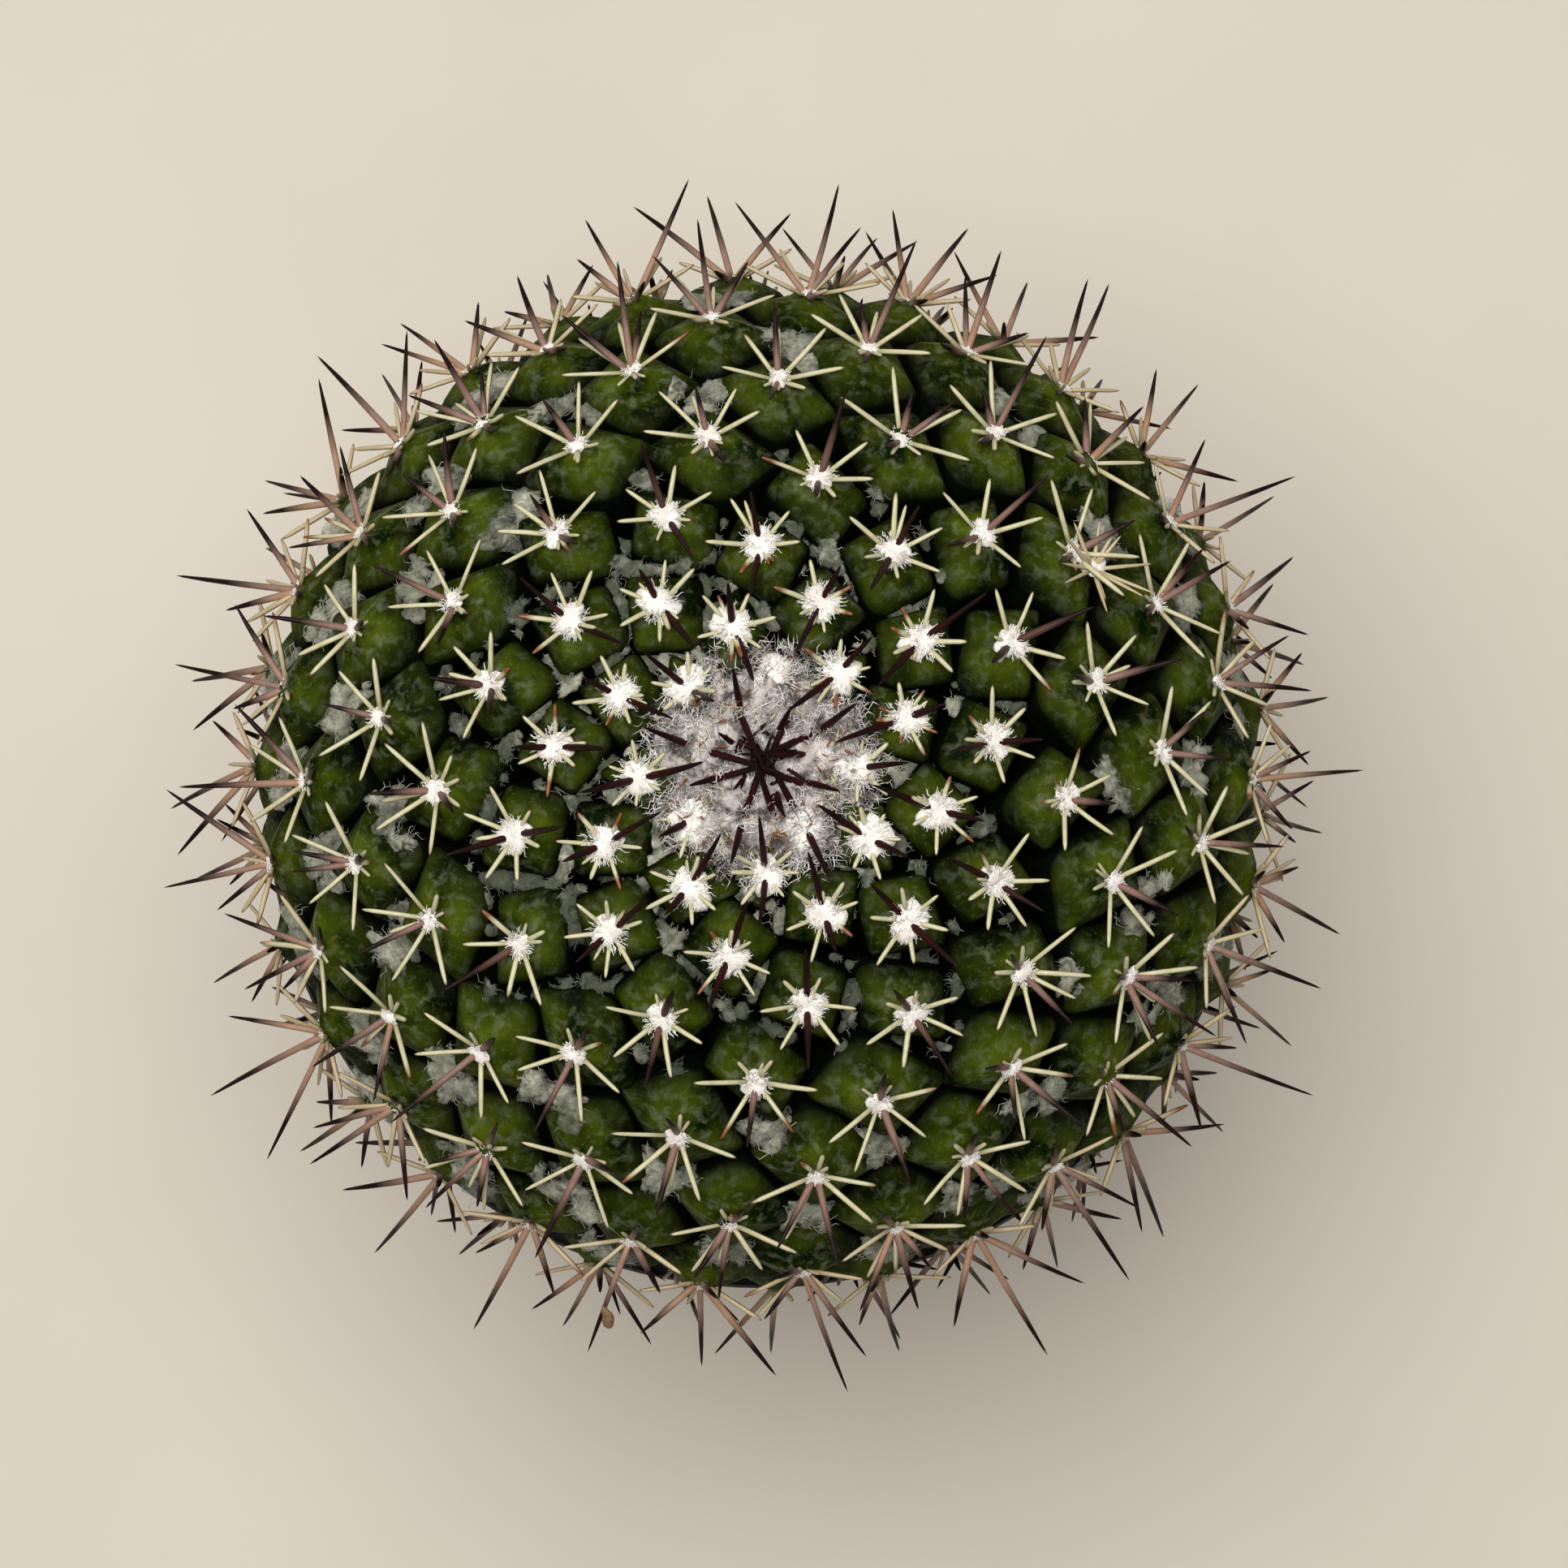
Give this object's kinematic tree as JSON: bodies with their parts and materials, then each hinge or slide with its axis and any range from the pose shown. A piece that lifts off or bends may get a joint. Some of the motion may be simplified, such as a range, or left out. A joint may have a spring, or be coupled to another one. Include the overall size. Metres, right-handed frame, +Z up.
{
  "type": "potted cactus",
  "caption": "Globular mammillaria cactus with four-sided spiny tubercles in spirals and a felted crown, in a round tapered nursery pot.",
  "frame": {"origin": "centre of the pot's base, on the surface that it stands on", "axes": "+Z up along the pot's axis, through the cactus's growing point"},
  "size_m": [0.1191, 0.1195, 0.15],
  "materials": {
    "pot_plastic": "black injection-moulded polypropylene, satin",
    "potting_mix": "peat and grit, matt and crumbly",
    "cactus_flesh": "waxy green skin with a fine bloom",
    "crown_felt": "grey-white plant felt"
  },
  "bodies": {
    "root": {"pot": "pot_plastic", "soil": "potting_mix", "cactus": "cactus_flesh", "crown_wool": "crown_felt"}
  },
  "joints": []
}
